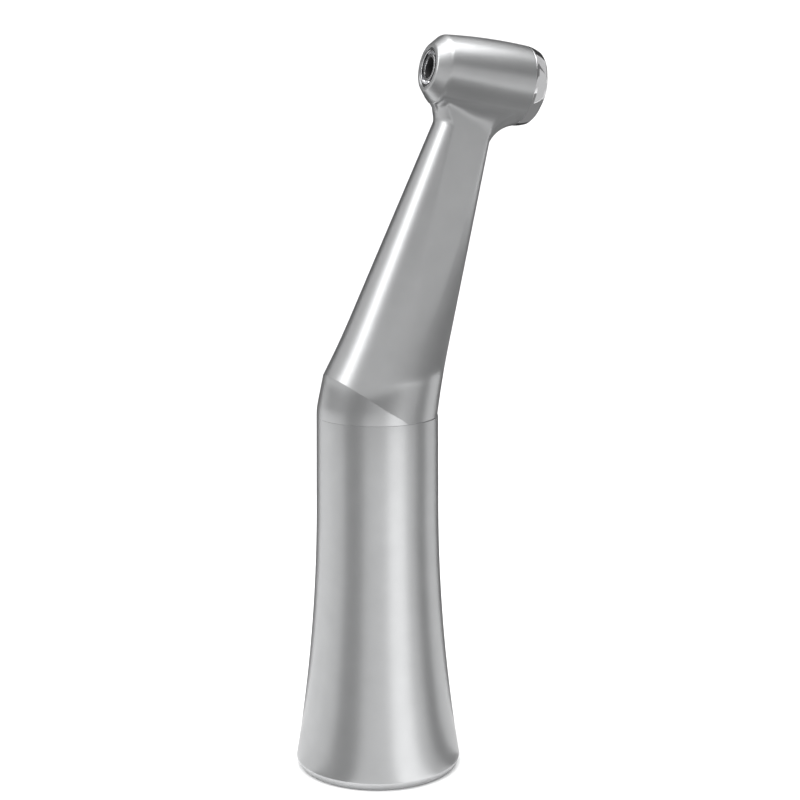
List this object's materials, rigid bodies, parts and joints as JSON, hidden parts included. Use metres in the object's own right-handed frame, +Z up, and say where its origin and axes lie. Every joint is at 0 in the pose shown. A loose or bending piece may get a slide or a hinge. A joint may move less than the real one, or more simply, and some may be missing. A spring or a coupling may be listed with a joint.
{
  "type": "dental contra-angle handpiece",
  "caption": "Slow-speed dental contra-angle handpiece with a bent gear train, latch-type bur chuck, release push-button and flared handle sleeve.",
  "frame": {"origin": "centre of the motor socket mouth at the rear rim of the handle", "axes": "+Z up the handle axis towards the neck; the neck leans towards +X and the bur hole looks towards -X; the XZ plane is the plane of symmetry of the outer shape"},
  "size_m": [0.0309, 0.02, 0.0878],
  "materials": {
    "satin_metal": "fine-blasted satin",
    "polished_chrome": "polished",
    "machined_steel": "turned",
    "hardened_steel": "ground",
    "gear_steel": "milled",
    "bronze": "turned",
    "spring_steel": "drawn wire",
    "seal_rubber": "matte",
    "bearing_steel": "lapped",
    "cage_brass": "machined"
  },
  "bodies": {
    "handpiece_body": {"head_neck_housing": "satin_metal", "head_cap": "polished_chrome", "button_spring": "spring_steel", "preload_washer": "hardened_steel", "bur_side_shield": "polished_chrome", "bur_side_bearing_outer_ring": "bearing_steel", "cap_side_bearing_outer_ring": "bearing_steel", "front_shaft_bush": "bronze", "front_shaft_bearing_outer_ring": "bearing_steel", "front_bearing_nut": "machined_steel", "handle_sleeve": "satin_metal", "motor_socket": "machined_steel", "socket_snap_ring": "spring_steel", "socket_seal": "seal_rubber", "foot_seal": "seal_rubber", "bearing_carrier": "machined_steel", "carrier_nut": "machined_steel", "spacer_nut": "machined_steel", "lower_shaft_bearing_outer_ring": "bearing_steel", "upper_shaft_bearing_outer_ring": "bearing_steel", "outer_spacer": "machined_steel"},
    "chuck_spindle_group": {"chuck_spindle": "hardened_steel", "crown_gear": "gear_steel", "bur_side_bearing_inner_ring": "bearing_steel", "cap_side_bearing_inner_ring": "bearing_steel"},
    "bur_latch_plate": {"bur_latch": "hardened_steel"},
    "front_shaft_group": {"front_shaft": "hardened_steel", "head_pinion": "gear_steel", "front_bend_gear": "gear_steel", "front_shaft_bearing_inner_ring": "bearing_steel"},
    "rear_shaft_group": {"rear_shaft": "hardened_steel", "rear_bend_gear": "gear_steel", "lower_shaft_bearing_inner_ring": "bearing_steel", "upper_shaft_bearing_inner_ring": "bearing_steel", "inner_spacer": "machined_steel", "shaft_collar": "machined_steel", "clutch_cross_pin": "hardened_steel", "clutch_spring": "spring_steel"},
    "drive_claw_slider": {"drive_claw": "hardened_steel"},
    "push_button_cap": {"push_button": "polished_chrome"},
    "bur_side_bearing_cage_set": {"bur_side_bearing_balls": "bearing_steel", "bur_side_bearing_cage": "cage_brass"},
    "cap_side_bearing_cage_set": {"cap_side_bearing_balls": "bearing_steel", "cap_side_bearing_cage": "cage_brass"},
    "front_shaft_bearing_cage_set": {"front_shaft_bearing_balls": "bearing_steel", "front_shaft_bearing_cage": "cage_brass"},
    "lower_shaft_bearing_cage_set": {"lower_shaft_bearing_balls": "bearing_steel", "lower_shaft_bearing_cage": "cage_brass"},
    "upper_shaft_bearing_cage_set": {"upper_shaft_bearing_balls": "bearing_steel", "upper_shaft_bearing_cage": "cage_brass"}
  },
  "joints": [
    {"name": "rear_shaft_spin", "type": "hinge", "parent": "handpiece_body", "child": "rear_shaft_group", "pos_m": [0, 0, 0.03], "axis": [0, 0, 1], "continuous": true},
    {"name": "front_shaft_spin", "type": "hinge", "parent": "handpiece_body", "child": "front_shaft_group", "pos_m": [0, 0, 0.04485], "axis": [0.319, 0, 0.9478], "continuous": true},
    {"name": "spindle_spin", "type": "hinge", "parent": "handpiece_body", "child": "chuck_spindle_group", "pos_m": [0.01281, 0, 0.0829], "axis": [-0.9836, 0, 0.1805], "continuous": true},
    {"name": "push_button_press", "type": "slide", "parent": "handpiece_body", "child": "push_button_cap", "axis": [-0.9836, 0, 0.1805], "range_m": [0, 0.0008], "stiffness_N_per_m": 1500, "springref_m": -0.0004, "deforming": ["button_spring"]},
    {"name": "bur_latch_slide", "type": "slide", "parent": "chuck_spindle_group", "child": "bur_latch_plate", "axis": [0.1805, 0, 0.9836], "range_m": [0, 0.00045]},
    {"name": "drive_claw_slide", "type": "slide", "parent": "rear_shaft_group", "child": "drive_claw_slider", "axis": [0, 0, 1], "range_m": [0, 0.0007], "stiffness_N_per_m": 250, "springref_m": -0.0003, "deforming": ["clutch_spring"]},
    {"name": "bur_side_bearing_cage_spin", "type": "hinge", "parent": "handpiece_body", "child": "bur_side_bearing_cage_set", "pos_m": [0.01281, 0, 0.0829], "axis": [-0.9836, 0, 0.1805], "continuous": true},
    {"name": "cap_side_bearing_cage_spin", "type": "hinge", "parent": "handpiece_body", "child": "cap_side_bearing_cage_set", "pos_m": [0.01281, 0, 0.0829], "axis": [-0.9836, 0, 0.1805], "continuous": true},
    {"name": "front_shaft_bearing_cage_spin", "type": "hinge", "parent": "handpiece_body", "child": "front_shaft_bearing_cage_set", "pos_m": [0, 0, 0.04485], "axis": [0.319, 0, 0.9478], "continuous": true},
    {"name": "lower_shaft_bearing_cage_spin", "type": "hinge", "parent": "handpiece_body", "child": "lower_shaft_bearing_cage_set", "pos_m": [0, 0, 0.03], "axis": [0, 0, 1], "continuous": true},
    {"name": "upper_shaft_bearing_cage_spin", "type": "hinge", "parent": "handpiece_body", "child": "upper_shaft_bearing_cage_set", "pos_m": [0, 0, 0.03], "axis": [0, 0, 1], "continuous": true}
  ],
  "couplings": [
    {"joint": "front_shaft_spin", "follows": "rear_shaft_spin", "ratio": 1},
    {"joint": "spindle_spin", "follows": "rear_shaft_spin", "ratio": 1},
    {"joint": "bur_latch_slide", "follows": "push_button_press", "ratio": 0.4375},
    {"joint": "bur_side_bearing_cage_spin", "follows": "rear_shaft_spin", "ratio": 0.4033},
    {"joint": "cap_side_bearing_cage_spin", "follows": "rear_shaft_spin", "ratio": 0.4033},
    {"joint": "front_shaft_bearing_cage_spin", "follows": "rear_shaft_spin", "ratio": 0.355},
    {"joint": "lower_shaft_bearing_cage_spin", "follows": "rear_shaft_spin", "ratio": 0.384},
    {"joint": "upper_shaft_bearing_cage_spin", "follows": "rear_shaft_spin", "ratio": 0.384}
  ]
}
